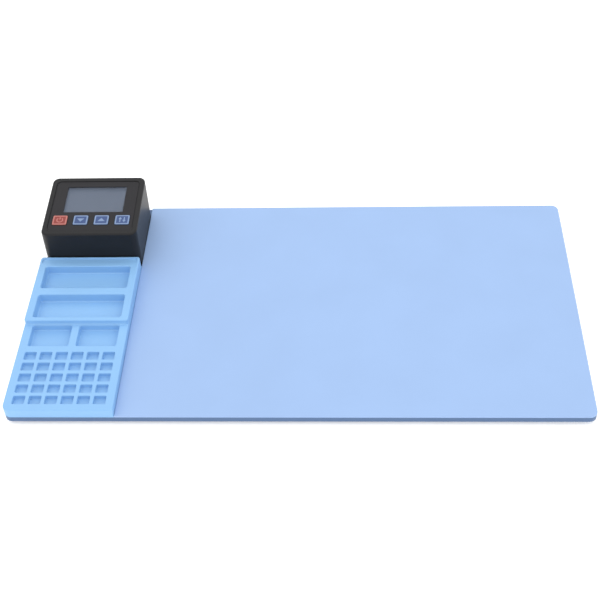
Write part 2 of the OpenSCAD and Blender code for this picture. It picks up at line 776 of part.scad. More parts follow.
module parts_tray() {
    side = strip_w;
    color(tray_blue) difference() {
        union() {
            // front part, with the plate's round corner at its front left
            translate([0, 0, mat_z]) difference() {
                rounded_block(plate_w, plate_d, tray_front_h, corner_r);
                span([strip_x, -plate_d, -1], [plate_w, plate_d, tray_front_h + 1]);
                span([-plate_w, step_y + 1, -1], [plate_w, plate_d, tray_front_h + 1]);
            }
            translate([tray_mid, (step_y + tray_y1) / 2, mat_z])
                rounded_block(side, tray_y1 - step_y, tray_back_h, 2);
            span([tray_x0, step_y, mat_z], [strip_x, step_y + 3, mat_z + tray_front_h]);
        }
        for (y = long_wells) translate([tray_mid, y, mat_z + tray_back_h - well_depth])
            rounded_block(well_w, well_d, 20, 1.5);
        for (s = [-1, 1])
            translate([tray_mid + s * box_well_x, box_well_y, mat_z + tray_front_h - box_well_depth])
            rounded_block(box_well_w, box_well_d, 20, 1.2);
        for (i = [0 : 5], j = [0 : 4])
            translate([tray_mid + (i - 2.5) * pocket_pitch_x - pocket_w / 2,
                       pocket_y0 + j * pocket_pitch_y - pocket_d / 2,
                       mat_z + tray_front_h - pocket_depth])
                cube([pocket_w, pocket_d, 20]);
        // shallow groove along the back edge
        translate([tray_mid, tray_y1 - back_lip - groove_d / 2, mat_z + tray_back_h - groove_depth])
            rounded_block(side - 2 * side_lip, groove_d, 20, 1.4);
    }
}

heating_plate();
heating_mat();
tray_pad();
heater_film();
heater_track();
insulation_sheet();
bottom_cover();
cover_screws();
rubber_feet();
temperature_sensor();
controller_base();
controller_shell();
front_panel();
display_window();
display_screen();
display_holder();
control_board();
key_switches();
power_key();
down_key();
up_key();
set_key();
control_board_screws();
power_board();
power_board_screws();
transformer();
capacitors();
triac();
heat_sink();
fuse();
terminal_block();
buzzer();
board_header();
wire_bush();
heater_leads();
sensor_leads();
mains_wires();
inlet_housing();
inlet_pins();
switch_housing();
switch_rocker();
switch_terminals();
controller_screws();
parts_tray();
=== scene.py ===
import json
import math

import bmesh
import bpy
from mathutils import Matrix, Vector


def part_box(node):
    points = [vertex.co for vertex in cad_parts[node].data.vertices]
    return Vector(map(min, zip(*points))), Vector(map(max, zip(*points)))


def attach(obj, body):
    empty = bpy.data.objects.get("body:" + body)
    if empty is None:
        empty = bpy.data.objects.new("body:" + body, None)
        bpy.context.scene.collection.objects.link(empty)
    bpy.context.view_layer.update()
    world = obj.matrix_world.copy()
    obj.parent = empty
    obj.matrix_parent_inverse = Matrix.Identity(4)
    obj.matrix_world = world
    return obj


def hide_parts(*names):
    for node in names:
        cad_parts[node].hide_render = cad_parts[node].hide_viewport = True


# Shapes are built in millimetres in the row frame, and become metres when they turn into pieces.
MM = 0.001
# Faces that meet at more than this are shaded with a sharp edge between them.
SHARP_ANGLE = math.radians(38)

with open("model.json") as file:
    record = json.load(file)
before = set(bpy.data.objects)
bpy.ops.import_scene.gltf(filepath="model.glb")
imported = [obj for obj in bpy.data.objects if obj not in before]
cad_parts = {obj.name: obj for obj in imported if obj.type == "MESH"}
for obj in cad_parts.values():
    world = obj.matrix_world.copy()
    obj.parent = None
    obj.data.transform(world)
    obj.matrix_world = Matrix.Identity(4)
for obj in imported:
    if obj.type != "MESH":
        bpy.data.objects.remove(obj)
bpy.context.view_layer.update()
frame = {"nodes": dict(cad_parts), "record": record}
bodies = frame["record"]["behaviour"]["bodies"]
body_of_node = {node: body for body, nodes in bodies.items() for node in nodes}
slot_of_node = {part["node"]: part["material_slot"] for part in frame["record"]["subparts"]}


def box_mm(node):
    """A CAD node's lowest and highest corner in millimetres."""
    low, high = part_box(node)
    return low / MM, high / MM


# ---------- materials ----------


def srgb(red, green, blue):
    """A colour given as 0 to 255 in the linear values that shaders take."""
    linear = []
    for value in (red / 255, green / 255, blue / 255):
        linear.append(value / 12.92 if value <= 0.04045 else ((value + 0.055) / 1.055) ** 2.4)
    return (*linear, 1.0)


def scaled(colour, factor):
    """A colour made darker or lighter."""
    return (colour[0] * factor, colour[1] * factor, colour[2] * factor, 1.0)


def maths(tree, operation, first, second):
    """The output of a maths node whose inputs are sockets or numbers."""
    node = tree.nodes.new("ShaderNodeMath")
    node.operation = operation
    for socket, value in zip(node.inputs, (first, second)):
        if isinstance(value, (int, float)):
            socket.default_value = value
        else:
            tree.links.new(value, socket)
    return node.outputs[0]


def ramp(tree, amount, stops):
    """A colour ramp over amount, from (position, colour) stops."""
    node = tree.nodes.new("ShaderNodeValToRGB")
    elements = node.color_ramp.elements
    while len(elements) < len(stops):
        elements.new(0.5)
    for element, (position, colour) in zip(elements, stops):
        element.position = position
        element.color = colour
    tree.links.new(amount, node.inputs["Fac"])
    return node.outputs["Color"]


def placed(tree, stretch=(1, 1, 1)):
    """Object coordinates, stretched."""
    place = tree.nodes.new("ShaderNodeTexCoord")
    mapping = tree.nodes.new("ShaderNodeMapping")
    mapping.inputs["Scale"].default_value = stretch
    tree.links.new(place.outputs["Object"], mapping.inputs["Vector"])
    return mapping.outputs["Vector"]


def noise(tree, size, detail, stretch=(1, 1, 1)):
    """Noise from 0 to 1 whose blotches are about size millimetres across."""
    node = tree.nodes.new("ShaderNodeTexNoise")
    node.inputs["Scale"].default_value = 1 / (size * MM)
    node.inputs["Detail"].default_value = detail
    tree.links.new(placed(tree, stretch), node.inputs["Vector"])
    return node.outputs["Fac"]


def lines(tree, pitch, direction, distortion=0.0):
    """Bands from 0 to 1, one for each pitch in millimetres."""
    node = tree.nodes.new("ShaderNodeTexWave")
    node.wave_type = "BANDS"
    node.bands_direction = direction
    node.wave_profile = "SIN"
    node.inputs["Scale"].default_value = 2 * math.pi / (20 * pitch * MM)
    node.inputs["Distortion"].default_value = distortion
    tree.links.new(placed(tree), node.inputs["Vector"])
    return node.outputs["Fac"]


def lay_over(tree, shader, mask, colour):
    """Lays a colour over the shader's own colour where the mask is 1."""
    own = shader.inputs["Base Color"].links[0].from_socket
    mix = tree.nodes.new("ShaderNodeMixRGB")
    tree.links.new(mask, mix.inputs["Fac"])
    tree.links.new(own, mix.inputs["Color1"])
    mix.inputs["Color2"].default_value = colour
    tree.links.new(mix.outputs["Color"], shader.inputs["Base Color"])


def emboss(tree, shader, height, depth):
    """Adds a bump of depth millimetres on top of the bump that the shader already has."""
    bump = tree.nodes.new("ShaderNodeBump")
    bump.inputs["Distance"].default_value = depth * MM
    tree.links.new(height, bump.inputs["Height"])
    if shader.inputs["Normal"].links:
        tree.links.new(shader.inputs["Normal"].links[0].from_socket, bump.inputs["Normal"])
    tree.links.new(bump.outputs["Normal"], shader.inputs["Normal"])


def surface(name, colour, roughness, patch, vary, grain, depth, stretch=(1, 1, 1), **inputs):
    """A principled material. Its colour drifts over patches, and a fine grain sets its bump and gloss.
    patch, grain and depth are in millimetres."""
    look = bpy.data.materials.new(name)
    look.use_nodes = True
    look.diffuse_color = colour
    tree = look.node_tree
    shader = tree.nodes["Principled BSDF"]
    drift = noise(tree, patch, 4.0, stretch)
    tone = ramp(tree, drift, [(0.3, scaled(colour, 1 - vary)), (0.7, scaled(colour, 1 + vary))])
    tree.links.new(tone, shader.inputs["Base Color"])
    fine = noise(tree, grain, 2.0, stretch)
    gloss = maths(tree, "ADD", maths(tree, "MULTIPLY", fine, 0.12), roughness - 0.06)
    tree.links.new(gloss, shader.inputs["Roughness"])
    emboss(tree, shader, fine, depth)
    for key, value in inputs.items():
        shader.inputs[key.replace("_", " ").title()].default_value = value
    return look, tree, shader


# Each material slot's finished material.
looks = {}


def blue_mat():
    """Matte silicone: soft unevenness under a fine stipple."""
    look, tree, shader = surface(
        "silicone_mat", srgb(149, 177, 218), 0.5, patch=40, vary=0.018, grain=0.5, depth=0.012,
    )
    shader.inputs["Specular IOR Level"].default_value = 0.35
    emboss(tree, shader, noise(tree, 9, 2.0), 0.03)
    looks["mat"] = look


def tray_silicone():
    """Satin silicone, smoother than the mat."""
    look, tree, shader = surface(
        "silicone_tray", srgb(132, 179, 224), 0.42, patch=25, vary=0.02, grain=0.6, depth=0.008,
    )
    shader.inputs["Specular IOR Level"].default_value = 0.45
    emboss(tree, shader, noise(tree, 6, 2.0), 0.02)
    looks["tray"] = look


def anodised_plate():
    """Anodised aluminium, drawn along X."""
    look, _, _ = surface(
        "anodised_plate", srgb(79, 106, 144), 0.4, patch=8, vary=0.05, grain=0.12, depth=0.003,
        stretch=(0.04, 1, 1), metallic=0.25,
    )
    looks["plate"] = look


def spark_plastic(name, slot, colour, roughness, grain, depth, shine=0.5):
    """Moulded plastic with an eroded, pebbled texture."""
    look, tree, shader = surface(
        name, colour, roughness, patch=20, vary=0.1, grain=grain, depth=depth,
    )
    shader.inputs["Specular IOR Level"].default_value = shine
    pebbles = tree.nodes.new("ShaderNodeTexVoronoi")
    pebbles.inputs["Scale"].default_value = 1 / (grain * 1.6 * MM)
    tree.links.new(placed(tree), pebbles.inputs["Vector"])
    emboss(tree, shader, pebbles.outputs["Distance"], depth * 0.6)
    looks[slot] = look


def circuit_board():
    """Green solder mask with lighter tracks and tinned pads."""
    look, tree, shader = surface(
        "circuit_board", srgb(16, 92, 58), 0.3, patch=6, vary=0.12, grain=0.2, depth=0.004,
    )
    along = maths(tree, "GREATER_THAN", lines(tree, 1.3, "X"), 0.72)
    across = maths(tree, "GREATER_THAN", lines(tree, 1.3, "Y"), 0.72)
    region = maths(tree, "GREATER_THAN", noise(tree, 7, 0.0), 0.5)
    rest = maths(tree, "SUBTRACT", 1.0, region)
    first = maths(tree, "MULTIPLY", along, region)
    second = maths(tree, "MULTIPLY", across, rest)
    tracks = maths(tree, "MAXIMUM", first, second)
    lay_over(tree, shader, tracks, srgb(34, 128, 78))
    emboss(tree, shader, tracks, 0.03)
    pads = tree.nodes.new("ShaderNodeTexVoronoi")
    pads.inputs["Scale"].default_value = 1 / (3.6 * MM)
    tree.links.new(placed(tree), pads.inputs["Vector"])
    dots = maths(tree, "LESS_THAN", pads.outputs["Distance"], 0.16)
    lay_over(tree, shader, dots, srgb(196, 196, 190))
    looks["board"] = look


def wound_copper():
    """Turns of enamelled wire round the transformer, with painted shade in the grooves between them."""
    look, tree, shader = surface(
        "wound_copper", srgb(176, 92, 38), 0.32, patch=3, vary=0.12, grain=0.2, depth=0.01, metallic=0.7,
    )
    turns = lines(tree, 0.4, "Z", distortion=0.4)
    # The dark bands between the turns are painted shade: the grooves between the round wires are darkened
    # in the colour.
    lay_over(tree, shader, maths(tree, "LESS_THAN", turns, 0.2), srgb(70, 30, 12))
    emboss(tree, shader, turns, 0.12)
    looks["winding"] = look


def fibre_sheet():
    """Pressed mineral fibre: long pale threads over a rough felt."""
    look, tree, shader = surface(
        "fibre_sheet", srgb(222, 214, 190), 0.85, patch=10, vary=0.1, grain=0.4, depth=0.12,
    )
    threads = maths(tree, "GREATER_THAN", noise(tree, 1.2, 5.0, (0.12, 1, 1)), 0.62)
    lay_over(tree, shader, threads, srgb(246, 242, 226))
    emboss(tree, shader, threads, 0.05)
    looks["insulation"] = look


def heater_film():
    """Amber polyimide with the weave of its glass backing."""
    look, tree, shader = surface(
        "heater_film", srgb(176, 98, 30), 0.28, patch=14, vary=0.12, grain=0.3, depth=0.006,
    )
    weave = maths(tree, "MULTIPLY", lines(tree, 0.7, "X"), lines(tree, 0.7, "Y"))
    lay_over(tree, shader, maths(tree, "GREATER_THAN", weave, 0.7), srgb(204, 124, 46))
    emboss(tree, shader, weave, 0.03)
    looks["film"] = look


def metal(name, slot, colour, roughness, stretch, ridges=0.0):
    """Bare or plated metal with drawn lines, and ridges where it is ribbed or threaded."""
    look, tree, shader = surface(
        name, colour, roughness, patch=4, vary=0.1, grain=0.15, depth=0.003, stretch=stretch, metallic=1.0,
    )
    if ridges:
        emboss(tree, shader, lines(tree, ridges, "Z"), 0.12)
    looks[slot] = look


def liquid_crystal():
    """The unlit display: slate grey, with a fine, faint grid of dots."""
    look, tree, shader = surface(
        "liquid_crystal", srgb(78, 89, 107), 0.3, patch=30, vary=0.03, grain=1.5, depth=0.0002,
    )
    across = maths(tree, "GREATER_THAN", lines(tree, 0.5, "X"), 0.86)
    along = maths(tree, "GREATER_THAN", lines(tree, 0.5, "Y"), 0.86)
    grid = maths(tree, "MULTIPLY", maths(tree, "MAXIMUM", across, along), 0.07)
    lay_over(tree, shader, grid, srgb(70, 78, 94))
    looks["screen"] = look


def clear_window():
    """A thin acrylic pane: mostly clear, glossy, with faint wipe marks."""
    look, _, shader = surface(
        "clear_window", srgb(120, 132, 152), 0.09, patch=16, vary=0.05, grain=4.0, depth=0.00005,
    )
    shader.inputs["Alpha"].default_value = 0.3
    looks["window"] = look


def sleeve(name, slot, colour, roughness=0.34):
    """Wire insulation, a shrink sleeve or a tube: smooth, with a faint unevenness."""
    look, _, _ = surface(name, colour, roughness, patch=5, vary=0.08, grain=0.25, depth=0.006)
    looks[slot] = look


blue_mat()
tray_silicone()
anodised_plate()
spark_plastic("housing_plastic", "housing", srgb(27, 27, 29), 0.42, 0.35, 0.014, 0.25)
spark_plastic("panel_plastic", "panel", srgb(30, 29, 33), 0.42, 0.22, 0.006, 0.25)
spark_plastic("inlet_plastic", "inlet", srgb(24, 24, 26), 0.3, 0.3, 0.006)
spark_plastic("rocker_plastic", "rocker", srgb(26, 26, 28), 0.24, 0.5, 0.003)
spark_plastic("powder_coat", "cover", srgb(34, 34, 37), 0.5, 0.7, 0.04)
spark_plastic("foot_rubber", "foot_rubber", srgb(30, 30, 31), 0.75, 0.25, 0.02)
spark_plastic("bush_rubber", "bush_rubber", srgb(34, 34, 35), 0.7, 0.25, 0.02)
spark_plastic("component_plastic", "component_black", srgb(40, 40, 42), 0.45, 0.2, 0.006)
spark_plastic("terminal_plastic", "terminal", srgb(46, 132, 84), 0.4, 0.3, 0.006)
spark_plastic("holder_plastic", "holder", srgb(222, 222, 216), 0.45, 0.3, 0.008)
spark_plastic("sensor_epoxy", "sensor", srgb(196, 110, 38), 0.4, 0.4, 0.02)
spark_plastic("red_key_plastic", "key_red", srgb(134, 46, 40), 0.38, 0.25, 0.004)
spark_plastic("blue_key_plastic", "key_blue", srgb(44, 70, 120), 0.38, 0.25, 0.004)
spark_plastic("red_key_print", "red_print", srgb(180, 108, 101), 0.42, 0.3, 0.004)
spark_plastic("blue_key_print", "blue_print", srgb(116, 138, 174), 0.42, 0.3, 0.004)
spark_plastic("white_print", "white_print", srgb(222, 224, 226), 0.45, 0.3, 0.004)
circuit_board()
wound_copper()
fibre_sheet()
heater_film()
metal("etched_foil", "foil", srgb(200, 200, 204), 0.34, (0.1, 1, 1))
metal("plated_steel", "steel", srgb(190, 192, 198), 0.3, (1, 1, 0.2))
metal("ribbed_aluminium", "sink", srgb(196, 198, 202), 0.36, (0.1, 1, 1))
metal("brass_contact", "brass", srgb(214, 176, 96), 0.26, (1, 0.2, 1))
metal("header_pins", "header", srgb(206, 172, 92), 0.3, (1, 1, 0.2), 2.5)
liquid_crystal()
clear_window()
sleeve("red_lead", "lead_red", srgb(190, 40, 34))
sleeve("white_lead", "lead_white", srgb(226, 224, 216))
sleeve("black_lead", "lead_black", srgb(36, 36, 38))
sleeve("capacitor_sleeve", "capacitor", srgb(34, 44, 84), 0.28)
sleeve("fuse_tube", "fuse_glass", srgb(214, 212, 190), 0.12)

# Every CAD node takes its slot's material, whether it stays in view or a finer piece stands for it.
for node_name, node_object in frame["nodes"].items():
    finish = looks[slot_of_node[node_name]]
    if not node_object.material_slots:
        node_object.data.materials.append(finish)
    for material_slot in node_object.material_slots:
        material_slot.material = finish


# ---------- shapes ----------


def rounded(x0, y0, x1, y1, radii, steps=6):
    """A rounded rectangle as a function of inset, anticlockwise from its front left corner.
    radii are those of the front left, front right, back right and back left corners."""

    def outline(inset):
        corners = ((x0, y0, 1, 1, 180), (x1, y0, -1, 1, 270), (x1, y1, -1, -1, 0), (x0, y1, 1, -1, 90))
        points = []
        for (x, y, to_x, to_y, start), radius in zip(corners, radii):
            r = max(radius - inset, 0.05)
            centre_x = x + to_x * (inset + r)
            centre_y = y + to_y * (inset + r)
            for k in range(steps + 1):
                angle = math.radians(start + 90 * k / steps)
                points.append((centre_x + r * math.cos(angle), centre_y + r * math.sin(angle)))
        return points

    return outline


def centred(x, y, width, depth, radius, steps):
    """A rounded rectangle round a centre, with all its corners alike."""
    return rounded(x - width / 2, y - depth / 2, x + width / 2, y + depth / 2, (radius,) * 4, steps)


def disc(x, y, radius, steps):
    """A circle as a function of inset."""

    def outline(inset):
        angles = [2 * math.pi * k / steps for k in range(steps)]
        return [(x + (radius - inset) * math.cos(a), y + (radius - inset) * math.sin(a)) for a in angles]

    return outline


def shape(points):
    """A fixed outline, given anticlockwise, that takes no inset."""
    return lambda inset: points


def round_top(z, radius, steps=4):
    """Profile of a rounded upper edge that ends at height z."""
    angles = [math.radians(90 * k / steps) for k in range(steps + 1)]
    return [(radius * (1 - math.cos(a)), z - radius + radius * math.sin(a)) for a in angles]


def round_foot(z, radius, steps=4, base=0.0):
    """Profile of a rounded lower edge that starts at height z."""
    angles = [math.radians(90 - 90 * k / steps) for k in range(steps + 1)]
    return [(base + radius * (1 - math.cos(a)), z + radius - radius * math.sin(a)) for a in angles]


def well_profile(floor, top, corner, rim, draft):
    """Profile of a cutter for a well: a rounded floor edge, a leaning wall and a rounded rim.
    It leaves the rim along the last tangent, so that it ends above the top."""
    points = round_foot(floor, corner, 4, draft)
    for k in range(6):
        a = math.radians(15 * k)
        points.append((-rim * (1 - math.cos(a)), top - rim + rim * math.sin(a)))
    inset, z = points[-1]
    overrun = 0.6
    points.append((inset - overrun * math.sin(a), z + overrun * math.cos(a)))
    return points


def flared(low, high, chamfer):
    """Profile of a cutter whose rim at height high gets a chamfer."""
    return [(0, low), (0, high - chamfer), (-chamfer - 0.5, high + 0.5)]


def stack(outline, profile, lift=None):
    """A closed mesh with a ring for each (inset, height) of its profile. lift(y, z) raises each point."""
    bm = bmesh.new()
    rings = []
    for inset, z in profile:
        ring = []
        for x, y in outline(inset):
            ring.append(bm.verts.new((x, y, z + (lift(y, z) if lift else 0))))
        rings.append(ring)
    for low, high in zip(rings, rings[1:]):
        for i in range(len(low)):
            j = (i + 1) % len(low)
            bm.faces.new((low[i], low[j], high[j], high[i]))
    bm.faces.new(list(reversed(rings[0])))
    bm.faces.new(rings[-1])
    bmesh.ops.recalc_face_normals(bm, faces=bm.faces)
    return bm


def block(low, high):
    """A plain block between two corners, used as a cutter."""
    outline = shape([(low[0], low[1]), (high[0], low[1]), (high[0], high[1]), (low[0], high[1])])
    return stack(outline, [(0, low[2]), (0, high[2])])


def moved(bm, matrix):
    """The same mesh, placed by a matrix."""
    bmesh.ops.transform(bm, matrix=matrix, verts=bm.verts)
    return bm


def joined(parts):
    """Several meshes that don't touch as one."""
    whole = bmesh.new()
    for part in parts:
        mesh = bpy.data.meshes.new("part")
        part.to_mesh(mesh)
        part.free()
        whole.from_mesh(mesh)
        bpy.data.meshes.remove(mesh)
    return whole


def loose(bm):
    """A mesh as an object of its own, for the length of one boolean."""
    mesh = bpy.data.meshes.new("loose")
    bm.to_mesh(mesh)
    bm.free()
    item = bpy.data.objects.new("loose", mesh)
    bpy.context.scene.collection.objects.link(item)
    return item


def carved(bm, tools, operation="DIFFERENCE"):
    """The mesh with each tool cut out of it, one after the other, or combined in another way."""
    base = loose(bm)
    items = [loose(tool) for tool in tools]
    for item in items:
        cut = base.modifiers.new("cut", "BOOLEAN")
        cut.object = item
        cut.operation = operation
        cut.solver = "EXACT"
    result = bmesh.new()
    result.from_object(base, bpy.context.evaluated_depsgraph_get())
    for item in [base, *items]:
        mesh = item.data
        bpy.data.objects.remove(item)
        bpy.data.meshes.remove(mesh)
    bmesh.ops.remove_doubles(result, verts=result.verts, dist=0.0005)
    return result


def merged(bm, tools):
    """The mesh with each tool joined to it."""
    return carved(bm, tools, "UNION")


def painted(bm, paint):
    """Gives each face the number of its finish. paint(centre, normal) says which."""
    bmesh.ops.recalc_face_normals(bm, faces=bm.faces)
    for face in bm.faces:
        face.material_index = paint(face.calc_center_median(), face.normal)
    return bm


def piece(name, bm, finishes, node):
    """Makes the mesh a piece that stands for a CAD node and rides on its body."""
    mesh = bpy.data.meshes.new(name)
    bm.to_mesh(mesh)
    bm.free()
    mesh.transform(Matrix.Scale(MM, 4))
    for face in mesh.polygons:
        face.use_smooth = True
    mesh.set_sharp_from_angle(angle=SHARP_ANGLE)
    for finish in finishes:
        mesh.materials.append(looks[finish])
    item = bpy.data.objects.new(name, mesh)
    bpy.context.scene.collection.objects.link(item)
    even = item.modifiers.new("even_shading", "WEIGHTED_NORMAL")
    even.keep_sharp = True
    graph = bpy.context.evaluated_depsgraph_get()
    shaded = bpy.data.meshes.new_from_object(item.evaluated_get(graph), depsgraph=graph)
    item.modifiers.clear()
    item.data = shaded
    shaded.name = name
    bpy.data.meshes.remove(mesh)
    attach(item, body_of_node[node])
    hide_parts(node)
    return item


def softened(name, node, width):
    """A CAD node's own shape with its edges rounded."""
    bm = bmesh.new()
    bm.from_mesh(frame["nodes"][node].data)
    moved(bm, Matrix.Scale(1 / MM, 4))
    bmesh.ops.remove_doubles(bm, verts=bm.verts, dist=0.002)
    bmesh.ops.dissolve_limit(bm, angle_limit=math.radians(1), verts=bm.verts, edges=bm.edges)
    corner = math.radians(50)
    edges = [e for e in bm.edges if len(e.link_faces) == 2 and e.calc_face_angle() > corner]
    bmesh.ops.bevel(
        bm, geom=edges, offset=width, segments=3, profile=0.5, affect="EDGES", clamp_overlap=True,
    )
    bmesh.ops.recalc_face_normals(bm, faces=bm.faces)
    return piece(name, bm, [slot_of_node[node]], node)


# ---------- hot plate ----------

plate_low, plate_high = box_mm("heating_plate")
cover_low, cover_high = box_mm("bottom_cover")
screw_high = box_mm("cover_screws")[1]
shell_low, shell_high = box_mm("controller_shell")
pad_low, pad_high = box_mm("tray_pad")
strip_x = (pad_high.x + box_mm("heating_mat")[0].x) / 2
box_x = (shell_low.x + shell_high.x) / 2
box_y = (shell_low.y + shell_high.y) / 2

# The cover's screws: four along the front, four along the back right and one at each side.
screw_head = 2.8
edge_x = screw_high.x - screw_head
edge_y = screw_high.y - screw_head
back_x = strip_x + 12
screw_places = [(-edge_x + k * edge_x * 2 / 3, -edge_y) for k in range(4)]
screw_places += [(back_x + k * (edge_x - back_x) / 3, edge_y) for k in range(4)]
screw_places += [(-edge_x, 0), (edge_x, 0)]
# The controller's screws go through the plate's skin, and so do its wires.
corner_screws = [(box_x + sx * 28.5, box_y + sy * 23.6) for sx in (-1, 1) for sy in (-1, 1)]
wire_hole = (box_x + 18, box_y + 6)
skin_z = plate_high.z - 1.4
plate_corner = 5


def build_plate():
    """The aluminium pan, hollow from below, with a pillar for each of the cover's screws."""
    outline = rounded(plate_low.x, plate_low.y, plate_high.x, plate_high.y, (plate_corner,) * 4, 10)
    body = stack(outline, round_foot(plate_low.z, 0.5) + round_top(plate_high.z, 0.4))
    rim = 6
    inner = (plate_low.x + rim, plate_low.y + rim, plate_high.x - rim, plate_high.y - rim)
    pocket = stack(rounded(*inner, (2,) * 4), [(0, plate_low.z - 1), (0, skin_z)])
    body = carved(body, [pocket])
    pillars = [stack(disc(x, y, 4.5, 24), [(0, cover_high.z), (0, skin_z + 0.2)]) for x, y in screw_places]
    body = merged(body, [joined(pillars)])
    holes = [stack(disc(x, y, 1.5, 16), [(0, 2), (0, plate_high.z - 0.6)]) for x, y in screw_places]
    holes += [stack(disc(x, y, 1.7, 16), [(0, skin_z - 1), (0, skin_z + 3)]) for x, y in corner_screws]
    holes.append(stack(disc(*wire_hole, 4, 32), [(0, skin_z - 1), (0, skin_z + 3)]))
    body = carved(body, [joined(holes)])
    piece("hot_plate_body", body, ["plate"], "heating_plate")


def build_mat():
    """The mat. It reaches a hair past its CAD edge on the left, which closes the seam to the tray's pad."""
    low, high = box_mm("heating_mat")
    outline = rounded(low.x - 0.14, low.y, high.x, high.y, (0.1, plate_corner, plate_corner, 0.1), 10)
    sheet = stack(outline, round_foot(low.z, 0.05, 2) + round_top(high.z, 0.4))
    piece("blue_mat", sheet, ["mat"], "heating_mat")


def build_tray_pad():
    """The pad under the tray, which meets the mat at the seam."""
    radii = (plate_corner, 0.1, 0.1, 0.1)
    outline = rounded(pad_low.x, pad_low.y, pad_high.x + 0.2, pad_high.y, radii, 10)
    profile = round_foot(pad_low.z, 0.05, 2) + round_top(pad_high.z, 0.25)
    piece("tray_pad_sheet", stack(outline, profile), ["tray"], "tray_pad")


def build_cover():
    """The bottom cover, with a countersunk hole for each screw."""
    outline = rounded(cover_low.x, cover_low.y, cover_high.x, cover_high.y, (2,) * 4)
    sheet = stack(outline, round_foot(cover_low.z, 0.25, 2) + round_top(cover_high.z, 0.15, 2))
    hole = [(-0.7, cover_low.z - 0.5), (0, cover_low.z + 0.2), (0, cover_high.z + 1)]
    holes = [stack(disc(x, y, 1.7, 20), hole) for x, y in screw_places]
    piece("cover_plate", carved(sheet, [joined(holes)]), ["cover"], "bottom_cover")


def build_cover_screws():
    """Pan heads with a cross recess, on threaded shanks."""
    seat = cover_low.z
    crown = [(1.8, -1.6), (1.15, -1.5), (0.6, -1.2), (0.2, -0.75), (0, -0.25), (0, 0)]
    head = [(inset, seat + z) for inset, z in crown]
    root = 1.35
    crest = 1.6
    pitch = 0.5
    shank = [(root, seat)]
    for k in range(6):
        shank += [(root, seat + 0.1 + k * pitch), (crest, seat + 0.35 + k * pitch)]
    shank.append((1.75, screw_high.z))
    screws = []
    along = []
    across = []
    recess = [(-0.25, seat - 2), (0.05, seat - 0.9), (0.2, seat - 0.6)]
    for x, y in screw_places:
        screws.append(stack(disc(x, y, screw_head, 24), head + shank))
        along.append(stack(centred(x, y, 2.6, 0.55, 0.12, 2), recess))
        across.append(stack(centred(x, y, 0.55, 2.6, 0.12, 2), recess))
    whole = carved(joined(screws), [joined(along), joined(across)])
    piece("cover_screw_set", whole, ["steel"], "cover_screws")


def build_feet():
    """Rubber feet with two grip rings moulded round a hollow."""
    low, high = box_mm("rubber_feet")
    radius = 7
    grip = [(6.4, 0.45), (4.5, 0.45), (4.1, 0), (3.3, 0), (3.05, 0.3), (2.6, 0.3), (2.35, 0)]
    edge = [(1 + value, z) for value, z in round_foot(0, 1)]
    flank = [(0.1, high.z - 0.2), (0, high.z - 0.1), (0, high.z)]
    feet = []
    for x in (low.x + radius, 0, high.x - radius):
        for y in (low.y + radius, high.y - radius):
            feet.append(stack(disc(x, y, radius, 40), grip + edge + flank))
    piece("foot_set", joined(feet), ["foot_rubber"], "rubber_feet")


build_plate()
build_mat()
build_tray_pad()
build_cover()
build_cover_screws()
build_feet()

# ---------- parts tray ----------

tray_low, tray_high = box_mm("parts_tray")
tray_x = (tray_low.x + tray_high.x) / 2
tray_front_z = tray_low.z + 5.8
step_y = tray_low.y + 76.4


def build_tray():
    """One silicone moulding: a low part with square wells and pockets, and a high part with long wells."""
    foot = round_foot(tray_low.z, 0.1, 2)
    low_outline = rounded(tray_low.x, tray_low.y, tray_high.x, step_y + 4, (plate_corner, 0.9, 0.1, 0.1), 8)
    high_outline = rounded(tray_low.x, step_y, tray_high.x, tray_high.y, (2,) * 4, 8)
    body = stack(low_outline, foot + round_top(tray_front_z, 0.7, 5))
    body = merged(body, [stack(high_outline, foot + round_top(tray_high.z, 1.0, 5))])
    # A hollow fillet along the foot of the step, drawn in profile and laid along X.
    bend = [(0.4, -0.3), (0.4, 2.2), (0, 2.2), (-0.16, 1.3), (-0.42, 0.62), (-0.9, 0.1), (-1.1, -0.3)]
    length = tray_high.x - tray_low.x - 2.4
    fillet = stack(shape([(y, z) for y, z in reversed(bend)]), [(0, -length / 2), (0, length / 2)])
    along_x = Matrix(((0, 0, 1, tray_x), (1, 0, 0, step_y), (0, 1, 0, tray_front_z), (0, 0, 0, 1)))
    body = merged(body, [moved(fillet, along_x)])
    wells = []
    long_well = well_profile(tray_high.z - 6.5, tray_high.z, 1.3, 0.7, 0.5)
    for y in (90.8, 119.4):
        wells.append(stack(centred(tray_x, tray_low.y + y, 61.2, 21.8, 1.6, 6), long_well))
    square_well = well_profile(tray_front_z - 4.6, tray_front_z, 1.0, 0.55, 0.3)
    for x in (-16.3, 16.3):
        wells.append(stack(centred(tray_x + x, tray_low.y + 65.8, 27.4, 19, 1.3, 6), square_well))
    pocket = well_profile(tray_front_z - 3, tray_front_z, 0.6, 0.4, 0.2)
    for column in range(6):
        for row in range(5):
            x = tray_x + (column - 2.5) * 10.6
            y = tray_low.y + 8.9 + row * 9.6
            wells.append(stack(centred(x, y, 8, 6.8, 0.7, 4), pocket))
    groove = well_profile(tray_high.z - 0.8, tray_high.z, 0.2, 0.25, 0.05)
    wells.append(stack(centred(tray_x, tray_high.y - 4.1, 68.6, 4.8, 1.4, 6), groove))
    piece("tray_moulding", carved(body, [joined(wells)]), ["tray"], "parts_tray")


build_tray()

# ---------- controller ----------

slope_angle = 4.0
slope = math.tan(math.radians(slope_angle))
slope_length = (shell_high.y - shell_low.y) / math.cos(math.radians(slope_angle))
front_top = shell_high.z - (shell_high.y - shell_low.y) * slope
# Places a mesh on the sloping top: Y runs up the slope from its front edge, and Z 0 is the rim.
leaning = Matrix.Rotation(math.radians(slope_angle), 4, "X")
on_slope = Matrix.Translation((box_x, shell_low.y, front_top)) @ leaning
shell_width = shell_high.x - shell_low.x
shell_corner = 5
